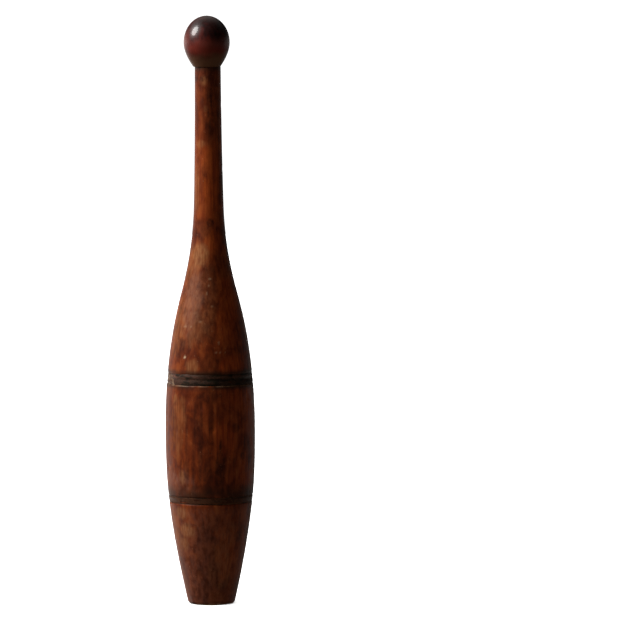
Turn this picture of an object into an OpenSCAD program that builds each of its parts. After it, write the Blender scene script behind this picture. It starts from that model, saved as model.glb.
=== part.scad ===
// Turned wooden juggling club: one long billet, a glued ball knob and two blackened bands.
// Origin at the centre of the base, +Z along the club towards the knob, millimetres.

/* [Body outline] */
// Diameter of the flat foot, before its edge is worn round
base_d = 40.3; // [36:0.1:46]
// Height where the straight foot turns into the belly
heel_z = 85; // [75:1:100]
// Diameter at the heel
heel_d = 71.3; // [66:0.1:74]
// Height of the widest place
belly_z = 150; // [140:1:165]
// Diameter at the widest place
belly_d = 77.7; // [75:0.1:84]
// Height of the middle of the shoulder, where the outline turns from round to hollow
shoulder_z = 268; // [255:1:280]
// Diameter at the middle of the shoulder
shoulder_d = 49.1; // [44:0.1:54]
// Height where the shoulder has run out into the handle
grip_z = 345; // [335:1:360]
// Diameter at the lower end of the handle
grip_d = 25.8; // [24:0.1:28]
// Height of the top of the handle, where the knob sits
neck_z = 464; // [445:1:475]
// Diameter at the top of the handle
neck_d = 22.4; // [20:0.1:24]
// Radius of the worn edge round the foot
foot_round = 3.2; // [1:0.1:4]

/* [Knob] */
// Diameter of the ball
knob_d = 40; // [36:0.1:44]
// Height of the ball's widest place above the top of the handle
knob_rise = 21.2; // [19:0.1:24]
// Height of the ball above its widest place
knob_dome = 22.8; // [19:0.1:25]
// Diameter of the flat seat under the knob
knob_seat_d = 23.4; // [22.6:0.1:25]
// How far the ball sits off the club's axis, because its socket was bored off centre
knob_offset = 0.7; // [0:0.05:1]

/* [Knob joint] */
// Diameter of the tenon on top of the handle
tenon_d = 12; // [10:0.5:14]
// Length of the tenon
tenon_l = 20; // [14:0.5:24]
// Glue gap round the tenon, on the radius
glue_gap = 0.05; // [0.02:0.01:0.1]
// Space left over the end of the tenon
tenon_end_gap = 1; // [0.5:0.1:2]

/* [Upper band] */
// Height of the band's lower edge
upper_band_z = 191.4; // [180:0.2:210]
// Height of the band
upper_band_h = 9.6; // [8:0.1:13]
// Depth of the band's recess at the foot of each reed
reed_sink = 0.6; // [0.4:0.05:1]
// Height of each reed
reed_h = 0.3; // [0.1:0.05:0.35]
// Thickness of the black lacquer
lacquer_t = 0.25; // [0.15:0.05:0.4]

/* [Lower band] */
// Height of the lower edge of the bottom line
lower_band_z = 88.6; // [80:0.2:110]
// Height of the whole band, over both lines
lower_band_h = 6.2; // [5:0.1:10]
// Width of each incised line
line_w = 1.2; // [0.8:0.1:1.6]
// Depth of each incised line
line_depth = 0.8; // [0.5:0.05:1]
// How far the black filling stands below the wood
line_sink = 0.3; // [0.2:0.05:0.4]
// Thickness of the worn black strip between the lines
strip_t = 0.15; // [0.1:0.05:0.3]

/* [Hidden] */
$fn = 96;

foot_slope = 0.231;        // millimetres of radius gained per millimetre of height, at the foot
heel_slope = 0.126;
shoulder_slope = -0.274;
grip_slope = -0.024;
neck_slope = -0.005;
seat_slope = 0.72;         // of the cone under the ball
outline_step = 4;          // spacing of the rings along the club
knob_steps = 18;           // rings on each half of the ball
reeds = 2;                 // reeds across the upper band
reed_steps = 8;            // rings across each reed
foot_steps = 5;            // rings round the foot's worn edge
line_floor = 0.4;          // width of a line's floor, as a share of its mouth
upper_band_top = upper_band_z + upper_band_h;
lower_band_top = lower_band_z + lower_band_h;
ball_z = neck_z + knob_rise;
tenon_top = neck_z + tenon_l;

// Each station is a height, a radius and a slope, and a smooth cubic joins it to the next.
BODY = [
    [0, base_d / 2, foot_slope],
    [heel_z, heel_d / 2, heel_slope],
    [belly_z, belly_d / 2, 0],
    [shoulder_z, shoulder_d / 2, shoulder_slope],
    [grip_z, grip_d / 2, grip_slope],
    [neck_z, neck_d / 2, neck_slope]
];
UNDER_BALL = [
    [neck_z, knob_seat_d / 2, seat_slope],
    [ball_z, knob_d / 2, 0]
];

function cubic(a, b, t) =
    let (h = b[0] - a[0], s = 1 - t)
    a[1] * (1 + 2 * t) * s * s + b[1] * (3 - 2 * t) * t * t
    + h * (a[2] * t * s * s - b[2] * t * t * s);

function curve_r(stations, z, i = 0) =
    z > stations[i + 1][0] && i < len(stations) - 2
    ? curve_r(stations, z, i + 1)
    : cubic(stations[i], stations[i + 1], (z - stations[i][0]) / (stations[i + 1][0] - stations[i][0]));

function body_r(z) = curve_r(BODY, z);

function spread(from, to, count) = [for (i = [0:count]) from + (to - from) * i / count];

// Plain turned surface between two heights.
function plain(from, to) =
    [for (z = spread(from, to, ceil((to - from) / outline_step))) [body_r(z), z]];

// The reeds of the upper band, raised by the thickness of what covers them.
function reeded(cover) =
    [for (z = spread(upper_band_z, upper_band_top, reeds * reed_steps))
        [body_r(z) - reed_sink + cover
         + reed_h * abs(sin(180 * reeds * (z - upper_band_z) / upper_band_h)), z]];

// An incised line that starts at height z: its two walls slope in to a narrow floor.
function line_cut(z) =
    let (wall = line_w * (1 - line_floor) / 2)
    [[body_r(z), z],
     [body_r(z + wall) - line_depth, z + wall],
     [body_r(z + line_w - wall) - line_depth, z + line_w - wall],
     [body_r(z + line_w), z + line_w]];

// The same line's filling, whose face lies below the wood.
function line_fill(z) =
    let (cut = line_cut(z), k = line_sink / line_depth)
    [cut[0] + k * (cut[1] - cut[0]), cut[1], cut[2], cut[3] + k * (cut[2] - cut[3])];

// The strip between the two lines, at a depth below the turned surface.
function strip_face(depth) =
    [for (z = spread(lower_band_z + line_w, lower_band_top - line_w, 3)) [body_r(z) - depth, z]];

function foot_edge() =
    [for (a = spread(-90, 0, foot_steps))
        [body_r(foot_round) - foot_round + foot_round * cos(a), foot_round + foot_round * sin(a)]];

function backwards(points) = [for (i = [len(points) - 1:-1:0]) points[i]];

// Drops a point that repeats the one before it.
function tidy(points) =
    [for (i = [0:len(points) - 1]) if (i == 0 || norm(points[i] - points[i - 1]) > 0.002) points[i]];

module turned(points) {
    rotate_extrude()
        polygon(tidy(points));
}

module club_body() {
    color("#6b3418")
        turned(concat(
            [[0, 0]],
            foot_edge(),
            plain(foot_round, lower_band_z),
            line_cut(lower_band_z),
            strip_face(strip_t),
            line_cut(lower_band_top - line_w),
            plain(lower_band_top, upper_band_z),
            reeded(0),
            plain(upper_band_top, neck_z),
            [[tenon_d / 2, neck_z], [tenon_d / 2, tenon_top], [0, tenon_top]]
        ));
}

module ball_knob() {
    socket_r = tenon_d / 2 + glue_gap;
    socket_l = tenon_l + tenon_end_gap;
    color("#3d1612")
        difference() {
            translate([-knob_offset, 0, 0])
                turned(concat(
                    [[0, neck_z]],
                    [for (z = spread(neck_z, ball_z, knob_steps)) [curve_r(UNDER_BALL, z), z]],
                    [for (a = spread(0, 90, knob_steps))
                        [knob_d / 2 * cos(a), ball_z + knob_dome * sin(a)]]
                ));
            translate([0, 0, neck_z - 1])
                cylinder(r = socket_r, h = socket_l + 1);
        }
}

module upper_band() {
    color("#14110f")
        turned(concat(reeded(0), backwards(reeded(lacquer_t))));
}

module black_line(z) {
    color("#120d0b")
        turned(line_fill(z));
}

module lower_band_top_line() {
    black_line(lower_band_top - line_w);
}

module lower_band_strip() {
    color("#2c1a12")
        turned(concat(strip_face(strip_t), backwards(strip_face(0))));
}

module lower_band_bottom_line() {
    black_line(lower_band_z);
}

club_body();
ball_knob();
upper_band();
lower_band_top_line();
lower_band_strip();
lower_band_bottom_line();
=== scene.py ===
"""An old turned wooden juggling club: dense worn meshes and procedural finishes around its CAD frame."""
import math

import bpy
import numpy as np
from mathutils import Matrix, Vector


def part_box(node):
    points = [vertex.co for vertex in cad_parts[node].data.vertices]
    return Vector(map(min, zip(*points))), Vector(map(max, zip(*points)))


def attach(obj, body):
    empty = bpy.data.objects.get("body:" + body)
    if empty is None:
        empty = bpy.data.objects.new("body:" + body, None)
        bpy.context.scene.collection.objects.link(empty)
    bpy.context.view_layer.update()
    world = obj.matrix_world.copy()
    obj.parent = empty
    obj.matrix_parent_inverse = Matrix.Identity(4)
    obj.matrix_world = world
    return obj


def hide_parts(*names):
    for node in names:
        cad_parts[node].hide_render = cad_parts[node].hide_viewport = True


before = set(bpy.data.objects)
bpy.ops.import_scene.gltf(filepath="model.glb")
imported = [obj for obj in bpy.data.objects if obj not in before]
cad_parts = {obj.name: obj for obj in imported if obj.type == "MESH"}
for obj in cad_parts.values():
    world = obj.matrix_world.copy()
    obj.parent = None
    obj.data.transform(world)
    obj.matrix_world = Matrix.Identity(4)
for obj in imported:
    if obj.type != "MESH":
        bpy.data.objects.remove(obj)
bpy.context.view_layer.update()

MM = 0.001
TURN = 2 * math.pi

# ------------------------ how dense the meshes are
AROUND = 256                # vertices round the body
KNOB_AROUND = 192
KNOB_RINGS = 118            # along the ball's outline
FOOT_RINGS = 26             # on the flat part of the foot
FOOT_EDGE_RINGS = 9         # round its worn edge
SIDE_STEP = 1.45            # millimetres between the rings along the body
BAND_STEP = 0.33            # across the upper band
STRIP_STEP = 0.4            # across the worn strip of the lower band
FLOOR_STEP = 0.6            # across the wood under the strip

# ------------------------ sizes, in millimetres
WIDEST = 38                 # the body's largest radius, about
BAND_RADIUS = 37            # its radius at the upper band, about
LINE_RADIUS = 36            # its radius at the lower band, about
REED_SINK = 0.6             # recess at the foot of each reed of the upper band
REED_HEIGHT = 0.3
REEDS = 2                   # how many
LACQUER = 0.25              # thickness of the upper band's lacquer
STRIP = 0.15                # thickness of the lower band's worn strip
LINE_DEPTH = 0.8            # of the two incised lines of the lower band
LINE_SINK = 0.3             # how far the filling stands below the wood
LINE_FLOOR = 0.4            # width of a line's floor, as a share of its mouth
EDGE_BREAK = 0.34           # depth of the broken edges at the cuts
FOOT_ROUND = 3.2            # radius of the worn edge round the foot
FOOT_MARGIN = 0.3           # how much further in the flat of the foot ends
CENTRE_MARK = 1.7           # radius of the lathe's centre mark under the foot
CENTRE_DEPTH = 1.3
CRACK_DEPTH = 0.8           # of the drying cracks under the foot
CRACK_WIDTH = 0.45          # half the width of a crack, at the edge of the flat
GLUE_GAP = 0.05             # between the tenon and its socket
SOCKET_END = 1.0            # left over the end of the tenon
UNDER = 0.03                # how far a coat's hidden side lies inside the wood
NEAR_RINGS = 0.05           # rings of the frame closer than this are one ring

# ------------------------ camera and light, in metres
VIEW_DISTANCE = 4.0
VIEW_HEIGHT = 0.533         # of the camera over the floor
VIEW_WIDTH = 0.534          # width of the picture at the club
VIEW_ASIDE = 0.0868         # how far the camera stands to the right of the club
VIEW_MIDDLE = 0.2537        # height at the middle of the picture
VIEW_ROLL = -0.33           # degrees
SENSOR = 36.0               # millimetres
KEY_PLACE = (-1.40, -0.27, 1.52)    # of the one soft lamp, to the left of the club and above it
KEY_AIM = (0, 0, 0.27)
KEY_SIZE = 1.0
KEY_POWER = 50              # watts
KEY_COLOUR = (1.0, 0.985, 0.96)
FLOOR_HALF = 6.0            # half the width of the floor
FLOOR_LIGHT = 6.5           # strength of the light that falls on the floor alone
FLOOR_LIGHT_SPREAD = 120    # degrees
BACKDROP = 1.2              # strength of the white behind the club


# ======================== repeatable noise
def lattice(i, seed):
    """A repeatable number from 0 to 1 for each row of whole numbers."""
    h = (i[..., 0] * 374761393 + i[..., 1] * 668265263 + i[..., 2] * 1440662683 + seed * 974634777)
    h = h & 0xFFFFFFFF
    h = ((h ^ (h >> 13)) * 1274126177) & 0xFFFFFFFF
    return ((h ^ (h >> 16)) & 0xFFFFFF) / 0xFFFFFF


def noise(p, size, seed):
    """Smooth noise from 0 to 1 at points p, in metres; size is the width of a blotch along X, Y and Z."""
    q = p / np.asarray(size, float)
    low = np.floor(q).astype(np.int64)
    t = q - low
    t = t * t * (3 - 2 * t)
    total = 0
    for corner in np.ndindex(2, 2, 2):
        c = np.array(corner)
        total = total + lattice(low + c, seed) * np.where(c, t, 1 - t).prod(-1)
    return total


def rough_noise(p, size, seed, octaves=3):
    """Noise with finer and weaker noise added, still from 0 to 1."""
    total, weight = 0, 0
    for k in range(octaves):
        total = total + noise(p, np.asarray(size) / 2 ** k, seed + 17 * k) / 2 ** k
        weight += 1 / 2 ** k
    return total / weight


def step(low, high, x):
    """Goes smoothly from 0 to 1 while x goes from low to high, which may be the smaller one."""
    t = np.clip((x - low) / (high - low), 0, 1)
    return t * t * (3 - 2 * t)


# ======================== the turned outline, from the frame
def rings(node, centre_x=0.0):
    """(heights, largest radius at each height) of a turned CAD node, in metres."""
    co = np.array([v.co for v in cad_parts[node].data.vertices], float).reshape(-1, 3)
    radius = np.hypot(co[:, 0] - centre_x, co[:, 1])
    height = np.round(co[:, 2], 5)
    levels = np.unique(height)
    levels = levels[np.diff(levels, prepend=-1) > NEAR_RINGS * MM]
    return levels, np.array([radius[np.abs(height - z) < NEAR_RINGS * MM].max() for z in levels])


def smooth_curve(z0, r0):
    """A function that runs through the points (z0, r0) with no corners."""
    slope = np.gradient(r0, z0)

    def radius(z):
        i = np.clip(np.searchsorted(z0, z) - 1, 0, len(z0) - 2)
        h = z0[i + 1] - z0[i]
        t = np.clip((z - z0[i]) / h, 0, 1)
        s = 1 - t
        return (r0[i] * (1 + 2 * t) * s * s + r0[i + 1] * (3 - 2 * t) * t * t
                + h * (slope[i] * t * s * s - slope[i + 1] * t * t * s))
    return radius


def height_of(node):
    """Lowest and highest point of a CAD node."""
    low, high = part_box(node)
    return low.z, high.z


BAND_LOW, BAND_TOP = height_of("upper_band")
SEAT_Z, KNOB_TOP = height_of("ball_knob")
TENON_TOP = height_of("club_body")[1]
SOCKET_TOP = TENON_TOP + SOCKET_END * MM
# A filling starts a little inside its line's mouth, so the mouth is wider by that much at each side.
LINES = {}
for line_node in ("lower_band_top_line", "lower_band_bottom_line"):
    line_low, line_high = height_of(line_node)
    sunk = LINE_SINK / LINE_DEPTH * (1 - LINE_FLOOR) / 2
    extra = (line_high - line_low) * sunk / (1 - 2 * sunk)
    LINES[line_node] = (line_low - extra, line_high + extra)
STRIP_LOW = LINES["lower_band_bottom_line"][1]
STRIP_TOP = LINES["lower_band_top_line"][0]
LINE_LOW = LINES["lower_band_bottom_line"][0]
LINE_TOP = LINES["lower_band_top_line"][1]


def turned_outline():
    """The body's outline as a smooth function of height, with the bands' cuts filled in."""
    z, r = rings("club_body")
    near = 0.5 * MM
    plain = (z > FOOT_ROUND * MM - near / 5) & (z <= SEAT_Z + near / 5)
    for low, top in ((LINE_LOW, LINE_TOP), (BAND_LOW, BAND_TOP)):
        plain &= (z < low - near) | (z > top + near)
    return smooth_curve(z[plain], r[plain])


turned = turned_outline()


def round_points(z, phi, radius):
    """Points at heights z and angles phi, measured from the front towards +X."""
    return np.stack([radius * np.sin(phi), -radius * np.cos(phi), z + 0 * phi], -1)


# ======================== wear in the wood's shape
random = np.random.default_rng(seed=1887)


def dents(count, low, high, depth, size):
    """Knocks: (height, angle, depth, half height, half width), in metres and radians.

    low and high are in metres. depth, of the deepest, and size are in millimetres.
    """
    z = random.uniform(low, high, count)
    phi = random.uniform(-math.pi, math.pi, count)
    deep = random.uniform(0.25, 1.0, count) ** 2 * depth * MM
    tall = random.uniform(0.5, 1.6, count) * size * MM
    wide = random.uniform(0.5, 1.6, count) * size * MM
    return list(zip(z, phi, deep, tall, wide))


# On the belly, below the bands, on the shoulder and handle, and round the foot.
KNOCKS = (dents(46, 0.10, 0.235, 0.55, 2.6) + dents(30, 0.02, 0.10, 0.45, 2.4)
          + dents(26, 0.235, 0.45, 0.3, 1.8) + dents(16, 0.0, 0.006, 0.9, 2.6))
CHIP = (0.2160, math.radians(-37), 0.5 * MM, 0.9 * MM, 1.2 * MM)    # the one above the upper band
KNOCKS.append(CHIP)


def turn_gap(phi, centre):
    """The angle from centre to phi, between minus and plus half a turn."""
    return (phi - centre + math.pi) % TURN - math.pi


def from_left(phi):
    """The angle between phi and the club's left side, from 0 to half a turn."""
    return np.abs(turn_gap(phi, -math.pi / 2))


def knocked(z, phi, radius, knocks):
    """Depth of the deepest knock at each point."""
    deep = np.zeros(np.broadcast(z, phi).shape)
    for kz, kphi, depth, tall, wide in knocks:
        reach = ((z - kz) / tall) ** 2 + (turn_gap(phi, kphi) * radius / wide) ** 2
        deep = np.maximum(deep, depth * np.exp(-np.minimum(reach, 50.0) ** 1.5))
    return deep


def side_wear(z, phi, radius):
    """How far the side of the body lies inside its turned outline, in metres."""
    p = round_points(z, phi, radius)
    oval = 0.05 * MM * (1 - np.cos(2 * (phi - 0.6))) * radius / (WIDEST * MM)
    hand = 0.30 * MM * (rough_noise(p, (0.03, 0.03, 0.06), 3) - 0.5)
    handling = 0.05 * MM * (rough_noise(p, (0.004, 0.004, 0.012), 8) - 0.5)
    foot = 0.4 * MM * rough_noise(p, (0.008, 0.008, 0.008), 12) * step(0.006, 0.0, z)
    worn = oval + hand + handling + foot
    # Where it is widest, the worn body stays just inside the CAD model's box.
    widest = step((WIDEST - 1.5) * MM, WIDEST * MM, radius)
    worn = np.maximum(worn, (0.03 * widest - (1 - widest)) * MM)
    return worn + knocked(z, phi, radius, KNOCKS)


def side(z, phi):
    """Radius of the worn side of the body, as if it had no bands."""
    radius = turned(z)
    return radius - side_wear(z, phi, radius)


def reed_depth(z):
    """Depth of the reeded wood under the upper band, below the turned outline."""
    along = (z - BAND_LOW) / (BAND_TOP - BAND_LOW)
    return (REED_SINK - REED_HEIGHT * np.abs(np.sin(math.pi * REEDS * along))) * MM


def edge_break(z, phi, edge, seed):
    """Rounds and nibbles the wood along one edge of a cut."""
    p = round_points(z, phi, BAND_RADIUS * MM)
    wide = (0.35 + 0.9 * rough_noise(p * (1, 1, 0), (0.006, 0.006, 1), seed)) * MM
    return EDGE_BREAK * MM * step(wide, 0, np.abs(z - edge))


def bare_side(z, phi):
    """Radius of the wood between the bands, with the edges of the cuts broken."""
    broken = sum(edge_break(z, phi, edge, 40 + k)
                 for k, edge in enumerate((BAND_LOW, BAND_TOP, LINE_LOW, LINE_TOP)))
    return side(z, phi) - broken


# ======================== meshes
def spread(low, high, spacing):
    """Evenly spaced heights from low to high, spacing being in millimetres."""
    return np.linspace(low, high, max(2, int(round((high - low) / (spacing * MM))) + 1))


def new_piece(name, points, faces, smooth_angle=40):
    """A smooth-shaded object, sharp where its faces meet at more than smooth_angle degrees."""
    mesh = bpy.data.meshes.new(name)
    mesh.from_pydata([tuple(p) for p in points], [], faces)
    mesh.validate()
    piece = bpy.data.objects.new(name, mesh)
    bpy.context.scene.collection.objects.link(piece)
    mesh.shade_smooth()
    mesh.set_sharp_from_angle(angle=math.radians(smooth_angle))
    return piece


def ring_faces(first, second, around):
    """Quads between two rings whose first vertices are first and second."""
    return [(first + k, first + (k + 1) % around, second + (k + 1) % around, second + k)
            for k in range(around)]


def turned_solid(name, levels, around):
    """A closed solid from rings. Each level is the ring's points; the first and last are single points."""
    points, starts = [], []
    for ring in levels:
        starts.append(len(points))
        points.extend(ring)
    faces = []
    for k in range(1, len(levels) - 2):
        faces += ring_faces(starts[k], starts[k + 1], around)
    low, high, top = starts[1], starts[-2], starts[-1]
    faces += [(0, low + (k + 1) % around, low + k) for k in range(around)]
    faces += [(top, high + k, high + (k + 1) % around) for k in range(around)]
    return new_piece(name, points, faces)


def angles(around):
    return np.arange(around) * TURN / around


def ring(z, radius, around, shift=0.0):
    """One ring of points. z and radius are numbers or one value per point."""
    phi = angles(around)
    points = round_points(z + 0 * phi, phi, radius + 0 * phi)
    points[:, 0] += shift
    return points


# ------------------------ body
# Radius of the flat part of the foot, in metres.
FOOT_FLAT = turned(FOOT_ROUND * MM) - (FOOT_ROUND + FOOT_MARGIN) * MM
CRACKS = ((0.35, 1.0), (2.65, 0.75), (4.4, 0.55))   # drying cracks: angle, length as a share of FOOT_FLAT


def foot_face(radius, phi):
    """Height of the foot's underside: the worn flat, with the lathe's mark and drying cracks."""
    p = round_points(0.0, phi, radius)
    lift = 0.12 * MM * rough_noise(p, (0.006, 0.006, 1), 21)
    lift = lift + 0.35 * MM * step(0.55, 0.75, rough_noise(p, (0.009, 0.009, 1), 23)) * radius / FOOT_FLAT
    lift = lift + CENTRE_DEPTH * MM * np.clip(1 - radius / (CENTRE_MARK * MM), 0, 1)
    for angle, reach in CRACKS:
        off = np.abs(turn_gap(phi, angle + 6 * (radius - FOOT_FLAT / 2))) * radius
        open_by = CRACK_WIDTH * MM * np.maximum(radius, 0.2 * MM) / FOOT_FLAT
        along = step(0, 1 * MM, radius) * step((reach + 0.03) * FOOT_FLAT, reach * 0.8 * FOOT_FLAT, radius)
        lift = lift + CRACK_DEPTH * MM * step(open_by, 0, off) * along
    return lift


def foot_levels(phi):
    """The foot's underside, from its centre out, and then its worn edge."""
    levels = [np.array([(0.0, 0.0, float(foot_face(np.zeros(1), np.zeros(1))[0]))])]
    for radius in np.linspace(0.6 * MM, FOOT_FLAT, FOOT_RINGS):
        levels.append(ring(foot_face(radius + 0 * phi, phi), radius, AROUND))
    edge = side(FOOT_ROUND * MM + 0 * phi, phi)
    for turn in np.linspace(0.08, 1.0, FOOT_EDGE_RINGS):
        a = (turn - 1) * math.pi / 2
        z = FOOT_ROUND * MM * (1 + math.sin(a))
        levels.append(ring(z, FOOT_FLAT + (edge - FOOT_FLAT) * math.cos(a), AROUND))
    return levels


def body_levels():
    """Every ring of the body, from the foot up to the top of the tenon."""
    phi = angles(AROUND)
    levels = foot_levels(phi)
    heights = spread(FOOT_ROUND * MM, LINE_LOW, SIDE_STEP)[1:-1]
    heights = np.concatenate([heights, LINE_LOW - np.array([0.7, 0.35]) * MM])
    levels += [ring(z, bare_side(z, phi), AROUND) for z in np.sort(heights)]
    levels += line_levels("lower_band_bottom_line", phi)
    levels += [ring(z, side(z, phi) - STRIP * MM, AROUND)
               for z in spread(STRIP_LOW, STRIP_TOP, FLOOR_STEP)[1:-1]]
    levels += line_levels("lower_band_top_line", phi)
    levels += between(LINE_TOP, BAND_LOW, phi)
    levels += [ring(z, side(z, phi) - reed_depth(z), AROUND)
               for z in spread(BAND_LOW, BAND_TOP, BAND_STEP)]
    levels += between(BAND_TOP, SEAT_Z, phi)
    levels.append(ring(SEAT_Z, bare_side(SEAT_Z, phi), AROUND))
    tenon = tenon_radius()
    chamfer = 0.5 * MM
    levels.append(ring(SEAT_Z, tenon, AROUND))
    levels.append(ring(TENON_TOP - chamfer, tenon, AROUND))
    levels.append(ring(TENON_TOP, tenon - chamfer, AROUND))
    levels.append(np.array([(0.0, 0.0, TENON_TOP)]))
    return levels


def tenon_radius():
    return rings("club_body")[1][-1]


def between(low, high, phi):
    """Rings of plain wood between two cuts, closer together at the cuts' edges."""
    near = np.array([0.0, 0.35, 0.8]) * MM
    middle = spread(low, high, SIDE_STEP)[1:-1]
    heights = np.concatenate([low + near, middle, (high - near)[::-1]])
    return [ring(z, bare_side(z, phi), AROUND) for z in heights[:-1]]


def line_levels(name, phi):
    """The walls and floor of one incised line."""
    low, high = LINES[name]
    wall = (high - low) * (1 - LINE_FLOOR) / 2
    deep = LINE_DEPTH * MM
    return [ring(low, bare_side(low, phi), AROUND),
            ring(low + wall, side(low + wall, phi) - deep, AROUND),
            ring(high - wall, side(high - wall, phi) - deep, AROUND),
            ring(high, bare_side(high, phi), AROUND)]


def make_body():
    return turned_solid("turned_body", body_levels(), AROUND)


# ------------------------ knob
def make_knob():
    """The ball: its socket first, then rings evenly spaced along its outline from the seat to the top."""
    low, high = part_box("ball_knob")
    centre = (low.x + high.x) / 2
    z0, r0 = rings("ball_knob", centre)
    outside = np.abs(z0 - SOCKET_TOP) > NEAR_RINGS * MM
    z0, r0 = z0[outside], r0[outside]
    socket_r = tenon_radius() + GLUE_GAP * MM
    along = np.concatenate([[0], np.cumsum(np.hypot(np.diff(z0), np.diff(r0)))])
    stations = np.linspace(0, along[-1], KNOB_RINGS)
    z_all, r_all = smooth_curve(along, z0)(stations), smooth_curve(along, r0)(stations)
    rise, spread_out = np.gradient(z_all, stations), np.gradient(r_all, stations)
    phi = angles(KNOB_AROUND)
    knocks = dents(24, SEAT_Z + 0.004, KNOB_TOP - 0.002, 0.12, 2.0)
    levels = [np.array([(0.0, 0.0, SOCKET_TOP)]),
              ring(SOCKET_TOP, socket_r, KNOB_AROUND),
              ring(SEAT_Z, socket_r, KNOB_AROUND)]
    for z, radius, up, out in zip(z_all[:-1], r_all[:-1], rise, spread_out):
        p = round_points(z, phi, radius)
        worn = 0.10 * MM * noise(p, (0.016, 0.016, 0.016), 31)
        worn = worn + 0.04 * MM * (1 - np.cos(2 * phi)) * radius / 0.02
        worn = (worn + knocked(z, phi, max(radius, 0.004), knocks)) * step(0, 2 * MM, radius)
        levels.append(ring(np.maximum(z + worn * out, SEAT_Z), radius - worn * up, KNOB_AROUND, centre))
    levels.append(np.array([(centre, 0.0, KNOB_TOP - 0.02 * MM)]))
    return turned_solid("turned_knob", levels, KNOB_AROUND)


# ------------------------ coats and fillings
def coat_piece(name, heights, under, thick, kept):
    """A thin closed skin over the wood. Cells where the coat is gone are left out, and its edges are walled.

    under and thick are arrays of radius and thickness for each height and angle; kept says where the coat is.
    """
    rows, around = under.shape
    phi = angles(around)
    outer = round_points(heights[:, None], phi[None, :], under + thick)
    inner = round_points(heights[:, None], phi[None, :], under - UNDER * MM)
    cell = kept[:-1] & kept[1:] & np.roll(kept, -1, 1)[:-1] & np.roll(kept, -1, 1)[1:]
    number = {}
    points, faces = [], []

    def vertex(layer, i, j):
        key = (layer, i, j % around)
        if key not in number:
            number[key] = len(points)
            points.append((outer if layer else inner)[i, j % around])
        return number[key]

    for i, j in np.argwhere(cell):
        faces.append([vertex(1, i, j), vertex(1, i, j + 1), vertex(1, i + 1, j + 1), vertex(1, i + 1, j)])
        faces.append([vertex(0, i, j), vertex(0, i + 1, j), vertex(0, i + 1, j + 1), vertex(0, i, j + 1)])
        sides = (((i - 1, j), (i, j), (i, j + 1)), ((i, j + 1), (i, j + 1), (i + 1, j + 1)),
                 ((i + 1, j), (i + 1, j + 1), (i + 1, j)), ((i, j - 1), (i + 1, j), (i, j)))
        for (ni, nj), a, b in sides:
            if not (0 <= ni < rows - 1) or not cell[ni, nj % around]:
                faces.append([vertex(1, *b), vertex(1, *a), vertex(0, *a), vertex(0, *b)])
    return new_piece(name, points, faces, 50)


def make_upper_band():
    phi = angles(AROUND * 2)
    heights = spread(BAND_LOW, BAND_TOP, BAND_STEP)
    z = heights[:, None]
    under = side(z, phi[None, :]) - reed_depth(z)
    p = round_points(z, phi[None, :], under)
    along = (z - BAND_LOW) / (BAND_TOP - BAND_LOW)
    # The big loss at the left of the front, with its leaning edge, then smaller chips all round.
    lean = math.radians(-54) - math.radians(15) * along
    lean = lean + 0.10 * (rough_noise(p, (0.003, 0.003, 0.003), 51) - 0.5)
    far_end = -0.42 - 0.25 * rough_noise(p, (0.004, 0.004, 0.003), 52)
    lost = (turn_gap(phi[None, :], lean) < 0) & (turn_gap(phi[None, :], math.radians(-84)) > far_end)
    crown = np.abs(np.sin(math.pi * REEDS * along))
    chips = rough_noise(p, (0.006, 0.006, 0.0025), 53, 4) + 0.07 * crown
    worn_side = 0.06 * np.cos(phi[None, :] - math.radians(200))
    kept = ~lost & (chips + worn_side < 0.745)
    ripple = 0.6 + 0.8 * rough_noise(p, (0.003, 0.003, 0.0012), 54)
    thick = LACQUER * MM * np.clip(ripple, 0.3, 1.25)
    thick = np.where(near_edge(kept, 2), 0.45 * thick, thick)
    piece = coat_piece("lacquer_band", heights, under, thick, kept)
    mark_band(piece)
    return piece


def near_edge(kept, cells):
    """Where a kept point lies within so many cells of a lost one."""
    lost = ~kept
    for _ in range(cells):
        lost = lost | np.roll(lost, 1, 1) | np.roll(lost, -1, 1)
        lost[1:] |= lost[:-1].copy()
        lost[:-1] |= lost[1:].copy()
    return kept & lost


def make_strip():
    """The worn skin between the two lines, with gaps where it has gone."""
    phi = angles(AROUND * 2)
    heights = spread(STRIP_LOW, STRIP_TOP, STRIP_STEP)
    z = heights[:, None]
    under = side(z, phi[None, :]) - STRIP * MM
    p = round_points(z, phi[None, :], under)
    kept = rough_noise(p, (0.007, 0.007, 0.0025), 61, 4) < 0.60
    thick = STRIP * MM * (0.35 + 0.6 * rough_noise(p, (0.004, 0.004, 0.002), 62))
    return coat_piece("worn_strip", heights, under, thick, kept)


def make_filling(node, name, seed):
    """A ring that fills one incised line, with an uneven face below the wood."""
    low, high = LINES[node]
    wall = (high - low) * (1 - LINE_FLOOR) / 2
    share = LINE_SINK / LINE_DEPTH
    phi = angles(AROUND)
    face_low, face_high = low + wall * share, high - wall * share
    section = ((low + wall, LINE_DEPTH + UNDER), (face_low, LINE_SINK), ((low + high) / 2, LINE_SINK),
               (face_high, LINE_SINK), (high - wall, LINE_DEPTH + UNDER))
    points, faces = [], []
    for k, (z, depth) in enumerate(section):
        p = round_points(z, phi, LINE_RADIUS * MM)
        uneven = 0.22 * MM * (rough_noise(p, (0.004, 0.004, 0.01), seed) - 0.3) if 0 < k < 4 else 0
        points.extend(ring(z, side(z, phi) - depth * MM - uneven, AROUND))
    for k in range(len(section)):
        faces += ring_faces(k * AROUND, (k + 1) % len(section) * AROUND, AROUND)
    return new_piece(name, points, faces, 50)


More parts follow.
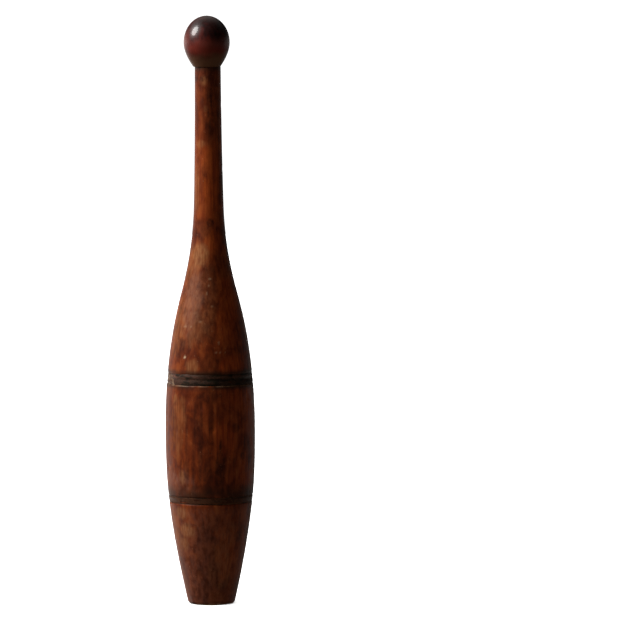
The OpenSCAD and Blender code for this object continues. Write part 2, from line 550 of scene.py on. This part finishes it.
# ======================== marks, kept on the mesh's vertices
def patch(p, z, phi, radius, mark, seed):
    """A blot with a ragged edge, from 0 to 1. See the marks below for what a mark holds."""
    (height, degrees), (tall, wide), _, ragged = mark
    off_z = (z - height * MM) / (tall * MM)
    off_x = turn_gap(phi, math.radians(degrees)) * radius / (wide * MM)
    waver = rough_noise(p, (0.005, 0.005, 0.012), seed, 4) - 0.5
    return step(1.35, 0.65, np.hypot(off_z, off_x) + 2 * ragged * waver)


def blots(surface, spots, seed):
    """The strongest of many blots at each point. Only the points near a blot are worked out for it."""
    p, z, phi, radius = surface
    total = np.zeros(len(z))
    for k, mark in enumerate(spots):
        (height, degrees), (tall, wide), strength, ragged = mark
        reach = (1.4 + ragged) * MM
        near = (np.abs(z - height * MM) < tall * reach)
        near &= np.abs(turn_gap(phi, math.radians(degrees))) * radius < wide * reach
        blot = patch(p[near], z[near], phi[near], radius[near], mark, seed + 7 * k)
        total[near] = np.maximum(total[near], strength * blot)
    return total


def unseen(count, low, high, seed, tall, wide, strength):
    """Marks like those of the front, spread at random over the sides and back."""
    draw = np.random.default_rng(seed)
    return [((draw.uniform(low, high), draw.uniform(72, 278)),
             (tall * draw.uniform(0.5, 1.4), wide * draw.uniform(0.6, 1.4)),
             strength * draw.uniform(0.6, 1.1), draw.uniform(0.4, 0.9)) for _ in range(count)]


# A mark is (height, degrees from the front), (half height, half width), strength, raggedness, in mm.
DARK_MARKS = [
    # the handle, darkest near the knob
    ((440, 30), (32, 8), 0.60, 0.2), ((452, -20), (14, 7), 0.30, 0.3), ((441, 2), (9, 3.5), 0.50, 0.4),
    ((418, 8), (20, 4), 0.50, 0.3), ((352, -50), (14, 6), 0.12, 0.6),
    ((375, -13), (6, 2.6), 0.45, 0.3), ((324, -30), (9, 9), 0.60, 0.2), ((330, 8), (3.6, 3.6), 0.90, 0.3),
    ((438, -62), (30, 4), 0.40, 0.3), ((459, -40), (8, 18), 0.75, 0.3), ((436, -6), (24, 5), 0.38, 0.3),
    ((436, 9), (28, 2.6), 0.80, 0.3),
    # the shoulder
    ((277, -50), (5, 3.5), 0.45, 0.4), ((266, 2), (26, 9), 0.60, 0.9), ((292, 38), (9, 8), 0.45, 0.7),
    ((234, 3), (6, 7), 0.55, 0.6), ((222, -52), (9, 6), 0.60, 0.8), ((209, -2), (8, 10), 0.50, 0.8),
    ((222, 48), (4, 5), 0.50, 0.5), ((245, -18), (16, 5), 0.35, 0.9),
    ((276, -38), (13, 10), 0.25, 0.6), ((228, -46), (4, 3), 0.40, 0.5),
    # between the bands, where the stain runs down the grain
    ((152, -70), (38, 14), 0.38, 0.5), ((108, -50), (18, 16), 0.25, 0.6), ((140, -45), (22, 6), 0.30, 0.8),
    ((182, -3), (5, 9), 0.65, 0.8), ((160, -18), (22, 1.8), 0.70, 0.6), ((148, -11), (34, 2.4), 0.75, 0.7),
    ((143, -31), (16, 1.6), 0.45, 0.6), ((115, -32), (10, 3), 0.70, 0.6), ((150, -44), (14, 1.4), 0.30, 0.6),
    ((128, -21), (26, 1.8), 0.42, 0.7), ((122, 14), (19, 5), 0.80, 0.7), ((112, -3), (14, 5), 0.60, 0.7),
    ((155, 36), (4, 4), 0.60, 0.4), ((130, 47), (3.5, 2.6), 0.85, 0.3), ((165, 3), (14, 2), 0.45, 0.7),
    # below the bands
    ((26, -25), (28, 17), 0.42, 0.6), ((56, -20), (14, 6), 0.40, 0.7), ((71, -29), (1.6, 7), 0.45, 0.4),
    ((38, -50), (8, 9), 0.45, 0.6), ((60, -12), (22, 6), 0.60, 0.8), ((30, -8), (24, 9), 0.60, 0.8),
    ((58, 1), (4, 5), 0.55, 0.6), ((30, 2), (6, 5), 0.60, 0.6), ((10, -28), (14, 10), 0.65, 0.6),
    ((10, 62), (13, 9), 0.55, 0.4), ((12, 24), (10, 8), 0.45, 0.7), ((60, 47), (5, 4), 0.60, 0.5),
    ((74, 8), (8, 5), 0.40, 0.8),
] + unseen(34, 10, 455, 5, 20, 7, 0.6)
# Paler wood, with a few painted highlights among it: the small spot high on the handle at (452, -18) and the
# thin streak at (180, -51).
PALE_AND_HIGHLIGHT_MARKS = [
    ((302, -30), (10, 8), 0.90, 0.22), ((296, -55), (14, 9), 0.50, 0.5), ((245, -58), (24, 13), 0.45, 0.7),
    ((398, -33), (3, 6), 0.45, 0.4), ((452, -18), (4, 3), 0.60, 0.3), ((428, -9), (3, 2), 0.45, 0.3),
    ((360, -58), (20, 5), 0.40, 0.5), ((207, -23), (8, 6), 0.70, 0.5), ((180, -51), (4.5, 1.6), 0.95, 0.4),
    ((165, -50), (14, 7), 0.35, 0.8), ((146, -48), (14, 7), 0.30, 0.9), ((112, -39), (7, 3.6), 0.90, 0.5),
    ((81, -46), (5, 7), 0.75, 0.6), ((66, -38), (5.5, 8), 0.85, 0.5), ((54, -48), (6, 6), 0.70, 0.6),
    ((62, -66), (20, 8), 0.35, 0.6),
    ((268, -32), (16, 8), 0.45, 0.8), ((240, -22), (14, 9), 0.45, 0.9), ((262, -6), (30, 8), 0.28, 0.7),
    ((165, -40), (14, 6), 0.40, 0.7),
    ((36, 20), (22, 9), 0.35, 0.7), ((18, 16), (2.5, 3), 0.70, 0.4), ((60, 30), (14, 7), 0.25, 0.7),
] + unseen(20, 20, 400, 6, 12, 8, 0.6)
WARM_MARKS = [
    ((385, -7), (13, 6), 0.85, 0.4), ((357, 4), (13, 6), 0.95, 0.4), ((368, 16), (34, 7), 0.70, 0.4),
    ((315, 12), (8, 7), 0.60, 0.5), ((424, 18), (12, 5), 0.55, 0.4), ((262, 46), (24, 9), 0.50, 0.8),
    ((240, 25), (14, 8), 0.55, 0.8), ((145, 21), (18, 9), 0.90, 0.7), ((207, 34), (9, 14), 0.85, 0.7),
    ((180, 35), (8, 11), 0.50, 0.8), ((118, 50), (14, 9), 0.60, 0.8), ((45, 30), (20, 8), 0.45, 0.8),
    ((355, -22), (30, 5), 0.40, 0.6), ((170, 62), (20, 8), 0.50, 0.8),
] + unseen(16, 20, 400, 7, 20, 9, 0.7)
# A whitish haze on the finish, partly a dull bloom and partly painted sheen, mostly on the lit left.
HAZE_AND_SHEEN_MARKS = [
    ((264, -36), (24, 9), 0.45, 0.6), ((106, -40), (12, 12), 0.45, 0.6), ((111, -60), (6, 9), 0.80, 0.7),
    ((99, -64), (6, 9), 0.50, 0.7), ((22, -54), (22, 7), 0.55, 0.5), ((72, 58), (24, 9), 0.45, 0.9),
    ((186, -70), (10, 8), 0.40, 0.6), ((36, 52), (12, 7), 0.35, 0.9),
] + unseen(12, 10, 420, 8, 16, 8, 0.6)
BARE_MARKS = [
    # the chip above the upper band
    ((216.0, -37), (0.9, 1.2), 1.0, 0.15),
    # small pits on the shoulder
    ((282, 3), (0.7, 1.5), 0.24, 0.5), ((277, 0), (1.1, 1.0), 0.22, 0.5),
    ((270, -4), (1.2, 0.8), 0.20, 0.5), ((259, 6), (1.0, 1.0), 0.15, 0.5),
    ((254, -27), (0.8, 3.0), 0.26, 0.6), ((246, -15), (0.8, 1.2), 0.18, 0.5),
    ((242, -42), (0.9, 1.6), 0.24, 0.6), ((242, -30), (1.0, 0.8), 0.20, 0.5),
    ((228, 15), (1.1, 0.9), 0.24, 0.5), ((220, 10), (0.8, 0.8), 0.24, 0.4),
    ((220, 16), (0.7, 0.9), 0.24, 0.4), ((220, 24), (0.8, 0.7), 0.22, 0.4),
]


def surface_points(piece):
    """A piece's points, and the height, angle and radius of each."""
    co = np.array([v.co for v in piece.data.vertices], float).reshape(-1, 3)
    return co, co[:, 2], np.arctan2(co[:, 0], -co[:, 1]), np.hypot(co[:, 0], co[:, 1])


def keep_mark(piece, name, values):
    layer = piece.data.attributes.new(name, "FLOAT", "POINT")
    layer.data.foreach_set("value", np.clip(values, 0, 1).astype(np.float32))


def mark_body(piece):
    co, z, phi, radius = surface_points(piece)
    surface = co, z, phi, np.maximum(radius, 0.004)
    keep_mark(piece, "dark", blots(surface, DARK_MARKS, 300))
    # Paler wood, and a few painted highlights.
    keep_mark(piece, "pale", blots(surface, PALE_AND_HIGHLIGHT_MARKS, 1300))
    keep_mark(piece, "warm", blots(surface, WARM_MARKS, 2300))
    # Below the lower band the whole body is hazier: partly a dull bloom, partly painted sheen.
    low_haze_and_sheen = 0.35 * step(LINE_LOW, LINE_LOW - 6 * MM, z)
    keep_mark(piece, "haze_and_sheen", np.maximum(blots(surface, HAZE_AND_SHEEN_MARKS, 3300), low_haze_and_sheen))
    # Stray black from the bands, with painted shade beside the upper band and a painted shadow under the
    # knob.
    keep_mark(piece, "soot_and_shade", soot_and_shade(co, z, phi))
    # Bare wood, with a painted highlight along the lower lip of the upper band.
    bare_and_highlight = np.maximum(blots(surface, BARE_MARKS, 4300), edge_wear_and_highlight(co, z, phi, radius))
    keep_mark(piece, "bare_and_highlight", bare_and_highlight)


def soot_and_shade(co, z, phi):
    """Black that has strayed from the bands, and beside the upper band painted shade as well, heaviest on the
    shaded right. Also a painted shadow in the corner under the knob, and darker patches round the foot.
    """
    smear = rough_noise(co, (0.012, 0.012, 0.006), 71, 4)
    above = step(15 * MM, 3 * MM, z - STRIP_TOP) * step(0.15, 0.62, smear + 0.20 * np.cos(phi - 0.3))
    below = step(2.5 * MM, 0, STRIP_LOW - z) * step(0.35, 0.7, smear)
    lower = np.where(z > STRIP_TOP, above, np.where(z < STRIP_LOW, below, 0.9))
    near_band = np.minimum(np.abs(z - BAND_LOW), np.abs(z - BAND_TOP))
    # Beside the upper band: stray black, and painted shade that is heaviest on the shaded right.
    upper = 0.45 + 0.55 * step(0.22, 0.6, smear + 0.17 * np.sin(phi + 0.5))
    upper = upper * step(5 * MM, 1 * MM, near_band)
    upper = np.where((z > BAND_LOW) & (z < BAND_TOP), 1.0, upper)
    # Painted shadow in the corner under the knob.
    neck = step(SEAT_Z - 5 * MM, SEAT_Z - 1 * MM, z) * (0.5 + 0.5 * smear)
    # Darker in patches round the foot.
    foot = step(5 * MM, 0.5 * MM, z) * step(0.3, 0.7, smear)
    return np.max([lower * 0.8, upper * 0.85, neck, foot * 0.7], axis=0)


def edge_wear_and_highlight(co, z, phi, radius):
    """Rubbed wood on the upper band's bared reeds and round the foot, and along the lower edge of the upper
    band's recess a pale line that is partly worn wood and partly a painted highlight where that edge faces up
    into the light.
    """
    nibble = rough_noise(co, (0.004, 0.004, 0.002), 81, 4)
    # The lower lip: partly worn wood, partly a painted highlight on the edge that faces up into the light.
    lip = step(0.7 * MM, 0.1 * MM, np.abs(z - BAND_LOW + 0.4 * MM)) * step(0.35, 0.7, nibble)
    inside = (z > BAND_LOW) & (z < BAND_TOP)
    reeds = inside * (0.10 + 0.25 * step(0.97, 0.67, from_left(phi))) * step(0.4, 0.7, nibble)
    foot = step(2.2 * MM, 1.0 * MM, z) * step(0.0175, 0.0195, radius) * step(0.42, 0.62, nibble)
    return np.max([0.32 * lip, reeds, 0.4 * foot], axis=0)


def mark_band(piece):
    """Rubbed brown on the crests, most on the upper reed and at the left, and dull over the lower reed. On
    the upper reed's crest it is partly a painted highlight, and all of it is stronger on the lit left, which
    paints light there.
    """
    co, z, phi, _ = surface_points(piece)
    along = (z - BAND_LOW) / (BAND_TOP - BAND_LOW)
    crown = np.abs(np.sin(math.pi * REEDS * along))
    rub = rough_noise(co, (0.006, 0.006, 0.002), 57, 4)
    lit_side = 0.45 + 0.55 * step(1.47, 0.97, from_left(phi))
    rubbed_and_highlight = step(0.45, 0.95, crown) * step(0.3, 0.6, rub) * np.where(along > 0.5, 1.0, 0.4)
    keep_mark(piece, "rubbed_and_highlight", np.maximum(rubbed_and_highlight, 0.45 * step(0.3, 0.6, rub)) * lit_side)
    keep_mark(piece, "dull", step(0.62, 0.42, along + 0.3 * (rub - 0.5)))


def mark_knob(piece):
    """Grime under the ball, a dark cap, a warm girdle, and a polish that grows towards the top. The cap is
    left off the lit left side and the girdle rises and widens there, which paints light on that side.
    """
    co, z, phi, _ = surface_points(piece)
    smear = rough_noise(co, (0.012, 0.012, 0.010), 91, 4)
    under = step(SEAT_Z + 15 * MM, SEAT_Z + 4 * MM, z + 11 * MM * (smear - 0.5) - 2 * MM * np.sin(phi))
    keep_mark(piece, "grime", under)
    keep_mark(piece, "polish", step(SEAT_Z + 12 * MM, SEAT_Z + 27 * MM, z + 5 * MM * (smear - 0.5)))
    # A darker cap over the top, left off the lit left side, which paints that side lighter.
    cap = step(KNOB_TOP - 17 * MM, KNOB_TOP - 5 * MM, z + 8 * MM * (smear - 0.5))
    keep_mark(piece, "dark", 0.74 * cap * step(0.07, 0.87, from_left(phi)))
    # The warm girdle rises and widens on the lit left, where it is painted light.
    left = step(1.32, 0.77, from_left(phi))
    girdle = 1 - np.abs(z - SEAT_Z - (16 + 5 * left) * MM) / ((12 + 4 * left) * MM)
    keep_mark(piece, "warm", step(0, 0.8, girdle) * step(0.25, 0.55, smear))


# ======================== materials
class Nodes:
    """A few short ways to add nodes. A value is a number, a colour, a vector or another node's socket."""

    def __init__(self, tree):
        self.nodes, self.links = tree.nodes, tree.links

    def put(self, socket, value):
        if isinstance(value, bpy.types.NodeSocket):
            self.links.new(value, socket)
        elif isinstance(value, (tuple, list)) and socket.type == "RGBA":
            socket.default_value = (*value, 1)
        else:
            socket.default_value = value

    def add(self, kind, **values):
        """A new node, with a value for each input that is named."""
        node = self.nodes.new(kind)
        for name, value in values.items():
            self.put(node.inputs[name.replace("_", " ")], value)
        return node

    def range(self, value, low, high, to_low=0.0, to_high=1.0):
        """Goes smoothly from to_low to to_high while value goes from low to high."""
        node = self.add("ShaderNodeMapRange", Value=value, From_Min=low, From_Max=high,
                        To_Min=to_low, To_Max=to_high)
        node.interpolation_type = "SMOOTHSTEP"
        return node.outputs["Result"]

    def maths(self, how, a, b):
        node = self.nodes.new("ShaderNodeMath")
        node.operation = how
        self.put(node.inputs[0], a)
        self.put(node.inputs[1], b)
        return node.outputs[0]


class Tree(Nodes):
    """The nodes of one material."""

    def __init__(self, name):
        self.material = bpy.data.materials.new(name)
        self.material.use_nodes = True
        super().__init__(self.material.node_tree)
        self.shader = self.nodes["Principled BSDF"]
        self.where = self.nodes.new("ShaderNodeTexCoord").outputs["Object"]

    def scaled(self, size):
        """Object coordinates in which a pattern is size millimetres along X, Y and Z."""
        scale = [1 / (s * MM) for s in size]
        return self.add("ShaderNodeMapping", Vector=self.where, Scale=scale).outputs["Vector"]

    def height(self):
        """Height over the foot, in metres."""
        return self.add("ShaderNodeSeparateXYZ", Vector=self.where).outputs["Z"]

    def noise(self, size, detail=3.0, rough=0.55, twist=0.0):
        return self.add("ShaderNodeTexNoise", Vector=self.scaled(size), Scale=1.0, Detail=detail,
                        Roughness=rough, Distortion=twist).outputs["Fac"]

    def cells(self, size, feature="F1"):
        node = self.add("ShaderNodeTexVoronoi", Vector=self.scaled(size), Scale=1.0)
        node.feature = feature
        return node.outputs["Distance"]

    def mark(self, name):
        """A mark that the mesh keeps."""
        node = self.nodes.new("ShaderNodeAttribute")
        node.attribute_name = name
        return node.outputs["Fac"]

    def ramp(self, value, stops):
        node = self.add("ShaderNodeValToRGB", Fac=value)
        for _ in range(len(stops) - 2):
            node.color_ramp.elements.new(0.5)
        for element, (at, colour) in zip(node.color_ramp.elements, stops):
            element.position = at
            element.color = (*colour, 1)
        return node.outputs["Color"]

    def mix(self, share, a, b):
        node = self.nodes.new("ShaderNodeMix")
        node.data_type = "RGBA"
        for k, value in ((0, share), (6, a), (7, b)):
            self.put(node.inputs[k], value)
        return node.outputs[2]

    def bump(self, height, depth, strength, normal=None):
        node = self.add("ShaderNodeBump", Height=height, Distance=depth * MM, Strength=strength)
        if normal is not None:
            self.put(node.inputs["Normal"], normal)
        return node.outputs["Normal"]

    def set(self, **values):
        for name, value in values.items():
            self.put(self.shader.inputs[name.replace("_", " ")], value)


def growth_rings(t, spacing, pith):
    """Bands of growth rings round a pith that lies beside the club, from 0 to 1."""
    shift = t.add("ShaderNodeMapping", Vector=t.where, Location=(-pith[0], -pith[1], 0), Scale=(1, 1, 0.035))
    wave = t.add("ShaderNodeTexWave", Vector=shift.outputs["Vector"], Scale=1 / (spacing * MM) / 3.2,
                 Distortion=3.0, Detail=3.0, Detail_Scale=0.6)
    wave.wave_type = "RINGS"
    wave.rings_direction = "Z"
    return wave.outputs["Fac"]


def wood_pattern(t, colours, streak_share):
    """An old stained hardwood. Returns its colour, and its grain and pores for the bump."""
    grain = t.noise((1.9, 1.9, 30), 4, 0.55, 0.3)
    mottle = t.noise((8, 8, 14), 4, 0.55, 0.5)
    broad = t.noise((22, 22, 50), 2, 0.5, 0.4)
    growth = growth_rings(t, 3.2, (0.055, 0.085))
    value = t.maths("MULTIPLY", grain, 0.18)
    for pattern, share in ((mottle, 0.62), (broad, 0.30), (growth, 0.04)):
        value = t.maths("ADD", value, t.maths("MULTIPLY", pattern, share))
    colour = t.ramp(t.range(value, 0.34, 0.80), colours)
    streak = t.noise((2.0, 2.0, 24), 4, 0.62, 0.6)
    where = t.noise((20, 20, 45), 2, 0.5)
    streak = t.maths("MULTIPLY", t.range(streak, 0.52, 0.68), t.range(where, 0.40, 0.60))
    streak = t.maths("MULTIPLY", streak, t.range(t.height(), 0.20, 0.30, 1.0, 0.3))
    colour = t.mix(t.maths("MULTIPLY", streak, streak_share), colour, (0.030, 0.006, 0.003))
    pores = t.noise((0.35, 0.35, 3.4), 2, 0.5)
    colour = t.mix(t.range(pores, 0.60, 0.72, 0, 0.24), colour, (0.030, 0.008, 0.004))
    return colour, grain, pores


def make_body_wood():
    t = Tree("old_shellacked_wood")
    colours = ((0.0, (0.075, 0.011, 0.003)), (0.3, (0.140, 0.023, 0.005)),
               (0.55, (0.205, 0.038, 0.008)), (0.8, (0.265, 0.058, 0.013)), (1.0, (0.33, 0.09, 0.024)))
    colour, grain, pores = wood_pattern(t, colours, 0.52)
    fleck = t.noise((3.2, 3.2, 6), 4, 0.6)
    pale, haze_and_sheen = t.mark("pale"), t.mark("haze_and_sheen")
    warm_colour = t.mix(t.range(grain, 0.35, 0.65), (0.24, 0.034, 0.006), (0.38, 0.075, 0.012))
    pale_colour = t.mix(t.range(grain, 0.35, 0.65), (0.22, 0.072, 0.022), (0.38, 0.155, 0.058))
    # Each mark's strength varies a little with the flecks. The pale mark holds a few painted highlights, and
    # the haze is partly a dull bloom and partly painted sheen.
    for mark, flecked, stain in ((t.mark("warm"), (0.3, 0.6, 0.6, 1.0), warm_colour),
                                 (pale, (0.3, 0.6, 0.5, 1.0), pale_colour),
                                 (t.mark("dark"), (0.35, 0.62, 1.0, 0.55), (0.034, 0.007, 0.004)),
                                 (haze_and_sheen, (0.36, 0.6, 0.2, 0.65), (0.26, 0.12, 0.085))):
        colour = t.mix(t.maths("MULTIPLY", mark, t.range(fleck, *flecked)), colour, stain)
    # Stray black from the bands, painted shade beside the upper band and under the knob, and darker patches
    # round the foot.
    colour = t.mix(t.mark("soot_and_shade"), colour, (0.034, 0.014, 0.007))
    specks = t.maths("MULTIPLY", t.range(t.cells((3.4, 3.4, 4.2)), 0.0, 0.17, 1, 0),
                     t.range(t.noise((14, 14, 20), 2), 0.52, 0.6))
    colour = t.mix(t.maths("MULTIPLY", specks, 0.45), colour, (0.42, 0.22, 0.12))
    scratch = t.maths("MULTIPLY", t.range(t.noise((0.5, 0.5, 22), 2, 0.5, 1.2), 0.66, 0.72),
                      t.range(t.noise((12, 12, 16), 2), 0.5, 0.58))
    colour = t.mix(t.maths("MULTIPLY", scratch, 0.35), colour, (0.40, 0.20, 0.10))
    # Bare wood, and a painted highlight along the lower lip of the upper band.
    colour = t.mix(t.mark("bare_and_highlight"), colour, (0.62, 0.43, 0.27))
    rough = t.maths("ADD", t.range(fleck, 0.3, 0.7, 0.40, 0.54), t.maths("MULTIPLY", haze_and_sheen, 0.1))
    rough = t.maths("ADD", rough, t.maths("MULTIPLY", pale, 0.05))
    turning = t.noise((400, 400, 0.9), 2, 0.6)
    normal = t.bump(grain, 0.10, 0.5)
    normal = t.bump(turning, 0.03, 0.4, normal)
    normal = t.bump(pores, 0.06, 0.5, normal)
    normal = t.bump(fleck, 0.08, 0.5, normal)
    t.set(Base_Color=colour, Roughness=rough, Normal=normal)
    t.set(Coat_Weight=0.02, Coat_Roughness=0.25, Coat_IOR=1.5, Specular_IOR_Level=0.11)
    return t.material


def make_knob_wood():
    t = Tree("handled_knob_wood")
    colours = ((0.0, (0.012, 0.003, 0.003)), (0.4, (0.038, 0.006, 0.005)),
               (0.7, (0.085, 0.011, 0.008)), (1.0, (0.15, 0.022, 0.015)))
    colour, grain, _ = wood_pattern(t, colours, 0.5)
    fleck = t.noise((2.6, 2.6, 5), 4, 0.6)
    polish = t.mark("polish")
    # A warm girdle of redder wood, raised and widened on the lit left, where it is painted light.
    colour = t.mix(t.maths("MULTIPLY", t.mark("warm"), 0.8), colour, (0.150, 0.022, 0.014))
    colour = t.mix(t.maths("MULTIPLY", t.mark("grime"), 0.85), colour, (0.128, 0.064, 0.035))
    # A darker cap over the top, left off the lit left side, which paints that side lighter.
    colour = t.mix(t.mark("dark"), colour, (0.016, 0.006, 0.006))
    rough = t.range(fleck, 0.3, 0.7, 0.34, 0.46)
    normal = t.bump(grain, 0.03, 0.3)
    normal = t.bump(fleck, 0.03, 0.3, normal)
    t.set(Base_Color=colour, Roughness=rough, Normal=normal)
    t.set(Coat_Weight=t.range(polish, 0, 1, 0.05, 0.41), Coat_Roughness=0.12, Coat_IOR=1.5)
    t.set(Specular_IOR_Level=t.range(polish, 0, 1, 0.08, 0.30))
    return t.material


def make_lacquer():
    t = Tree("old_black_lacquer")
    fleck = t.noise((1.4, 1.4, 0.8), 4, 0.6)
    broad = t.noise((14, 14, 6), 3, 0.5)
    colour = t.ramp(broad, ((0.3, (0.012, 0.005, 0.003)), (0.5, (0.013, 0.010, 0.004)),
                            (0.7, (0.028, 0.012, 0.007))))
    colour = t.mix(t.range(fleck, 0.58, 0.75, 0, 0.6), colour, (0.080, 0.038, 0.020))
    # Rubbed brown, partly a painted highlight on the upper reed's crest and painted light on the lit left.
    rubbed_and_highlight = t.maths("MULTIPLY", t.mark("rubbed_and_highlight"), t.range(fleck, 0.3, 0.6, 0.4, 0.9))
    colour = t.mix(rubbed_and_highlight, colour, (0.200, 0.084, 0.058))
    crackle = t.range(t.cells((1.5, 1.5, 1.2), "DISTANCE_TO_EDGE"), 0.0, 0.05)
    colour = t.mix(crackle, (0.006, 0.004, 0.003), colour)
    rough = t.maths("ADD", t.range(fleck, 0.3, 0.75, 0.38, 0.56), t.maths("MULTIPLY", t.mark("dull"), 0.22))
    normal = t.bump(crackle, 0.03, 0.6)
    normal = t.bump(fleck, 0.06, 0.6, normal)
    t.set(Base_Color=colour, Roughness=rough, Normal=normal, Specular_IOR_Level=0.14)
    return t.material


def make_filling_finish():
    t = Tree("black_filling")
    fleck = t.noise((1.2, 1.2, 1.2), 4, 0.6)
    worn = t.noise((9, 9, 9), 3, 0.6)
    colour = t.ramp(fleck, ((0.35, (0.016, 0.009, 0.006)), (0.6, (0.030, 0.016, 0.009)),
                            (0.8, (0.060, 0.029, 0.016))))
    colour = t.mix(t.range(worn, 0.40, 0.60, 0.25, 0.95), colour, (0.105, 0.043, 0.021))
    t.set(Base_Color=colour, Roughness=t.range(fleck, 0.3, 0.7, 0.5, 0.75), Normal=t.bump(fleck, 0.08, 0.7))
    t.set(Specular_IOR_Level=0.15)
    return t.material


def make_strip_finish():
    t = Tree("worn_black_strip")
    fleck = t.noise((2.6, 2.6, 1.4), 4, 0.65)
    streaks = t.noise((1.3, 1.3, 9), 3, 0.6)
    colour = t.ramp(fleck, ((0.3, (0.050, 0.019, 0.009)), (0.5, (0.080, 0.030, 0.014)),
                            (0.75, (0.115, 0.042, 0.019))))
    colour = t.mix(t.range(streaks, 0.5, 0.7, 0, 0.5), colour, (0.035, 0.013, 0.007))
    t.set(Base_Color=colour, Roughness=t.range(fleck, 0.3, 0.7, 0.42, 0.6), Normal=t.bump(fleck, 0.06, 0.6))
    t.set(Specular_IOR_Level=0.15)
    return t.material


# ======================== stage
def aim(obj, target, roll=0.0):
    """Points a lamp or a camera at the target, rolled about that direction."""
    direction = np.array(target, float) - np.array(obj.location, float)
    turn = Vector(direction).to_track_quat("-Z", "Y").to_matrix() @ Matrix.Rotation(roll, 3, "Z")
    obj.rotation_euler = turn.to_euler()


def make_camera():
    data = bpy.data.cameras.new("camera")
    data.sensor_width = SENSOR
    data.lens = SENSOR * VIEW_DISTANCE / VIEW_WIDTH
    data.clip_end = 50
    camera = bpy.data.objects.new("camera", data)
    bpy.context.scene.collection.objects.link(camera)
    camera.location = (VIEW_ASIDE, -VIEW_DISTANCE, VIEW_HEIGHT)
    aim(camera, (VIEW_ASIDE, 0, VIEW_MIDDLE), math.radians(VIEW_ROLL))
    bpy.context.scene.camera = camera


def key_light():
    """One soft round lamp."""
    data = bpy.data.lights.new("key", "AREA")
    data.shape = "DISK"
    data.size = KEY_SIZE
    data.energy = KEY_POWER
    data.color = KEY_COLOUR
    light = bpy.data.objects.new("key", data)
    bpy.context.scene.collection.objects.link(light)
    light.location = KEY_PLACE
    aim(light, KEY_AIM)


def make_floor():
    corners = [(x * FLOOR_HALF, y * FLOOR_HALF, 0) for x, y in ((-1, -1), (1, -1), (1, 1), (-1, 1))]
    mesh = bpy.data.meshes.new("floor")
    mesh.from_pydata(corners, [], [(0, 1, 2, 3)])
    floor = bpy.data.objects.new("floor", mesh)
    bpy.context.scene.collection.objects.link(floor)
    t = Tree("pale_floor")
    t.set(Base_Color=(0.9, 0.9, 0.9), Roughness=0.9, Specular_IOR_Level=0.0)
    mesh.materials.append(t.material)
    # The floor is kept out of the club's shading, so that its far side stays dark.
    floor.visible_diffuse = False
    floor.visible_glossy = False
    return floor


def overhead_light():
    """Even light from all over the ceiling, which keeps the floor white up to the foot."""
    data = bpy.data.lights.new("overhead", "SUN")
    data.energy = FLOOR_LIGHT
    data.angle = math.radians(FLOOR_LIGHT_SPREAD)
    light = bpy.data.objects.new("overhead", data)
    bpy.context.scene.collection.objects.link(light)
    return light


def only_for(light, obj):
    """The light shines on obj alone."""
    group = bpy.data.collections.new(light.name + "_on")
    group.objects.link(obj)
    light.light_linking.receiver_collection = group


class Sky(Nodes):
    """The nodes of the world."""

    def __init__(self, name):
        world = bpy.data.worlds.new(name)
        bpy.context.scene.world = world
        world.use_nodes = True
        super().__init__(world.node_tree)
        self.nodes.clear()
        self.rays = self.nodes.new("ShaderNodeLightPath").outputs
        where = self.nodes.new("ShaderNodeTexCoord").outputs["Generated"]
        self.direction = self.add("ShaderNodeSeparateXYZ", Vector=where).outputs

    def fade(self, axis, start, end, first, last):
        """A strength that goes from first to last while the direction's axis goes from start to end."""
        return self.range(self.direction[axis], start, end, first, last)

    def light(self, colour, strength):
        return self.add("ShaderNodeBackground", Color=colour, Strength=strength).outputs["Background"]

    def choose(self, ray, otherwise, chosen):
        """The light called chosen for one kind of ray, and the other light for all the rest."""
        node = self.add("ShaderNodeMixShader", Fac=self.rays[ray])
        self.put(node.inputs[1], otherwise)
        self.put(node.inputs[2], chosen)
        return node.outputs["Shader"]


def make_world():
    """White behind the club, a dim room that shades it, and another that it reflects."""
    sky = Sky("studio")
    # The light that shades the club is warm and comes from below, as off a table.
    shade = sky.light((1.0, 0.8, 0.62), sky.fade("Z", -0.15, 0.25, 0.28, 0.026))
    # It reflects the table, brightest behind it and to its left, and a pale ceiling behind it.
    table = sky.fade("Z", -0.15, 0.25, 0.42, 0.015)
    table = sky.maths("MULTIPLY", table, sky.fade("Z", -0.55, -0.2, 0.15, 1.0))
    behind = sky.maths("MULTIPLY", sky.fade("Y", -0.1, 0.6, 0.1, 1.0), sky.fade("X", -0.6, 0.2, 4.2, 1.0))
    over = sky.maths("MULTIPLY", sky.fade("Z", 0.35, 0.75, 0.0, 0.44), sky.fade("Y", -0.25, 0.6, 0.0, 1.0))
    over = sky.maths("MULTIPLY", over, sky.fade("X", 0.0, 0.6, 1.0, 0.2))
    shine = sky.maths("ADD", sky.maths("MULTIPLY", table, behind), over)
    around = sky.choose("Is Glossy Ray", shade, sky.light((1.0, 0.95, 0.9), shine))
    seen = sky.choose("Is Camera Ray", around, sky.light((1, 1, 1), BACKDROP))
    sky.add("ShaderNodeOutputWorld", Surface=seen)


def make_stage():
    make_camera()
    make_world()
    floor = make_floor()
    key_light()
    only_for(overhead_light(), floor)
    bpy.context.scene.view_settings.view_transform = "Standard"


# ======================== assembly
def place(piece, node, material):
    """Gives a piece its finish, hangs it on the root body, and hides the CAD node that it stands for."""
    piece.data.materials.append(material)
    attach(piece, "root")
    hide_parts(node)


def main():
    body = make_body()
    mark_body(body)
    place(body, "club_body", make_body_wood())
    knob = make_knob()
    mark_knob(knob)
    place(knob, "ball_knob", make_knob_wood())
    place(make_upper_band(), "upper_band", make_lacquer())
    place(make_strip(), "lower_band_strip", make_strip_finish())
    filling = make_filling_finish()
    for k, line in enumerate(("top", "bottom")):
        node = f"lower_band_{line}_line"
        place(make_filling(node, f"filled_{line}_line", 65 + k), node, filling)
    make_stage()


main()
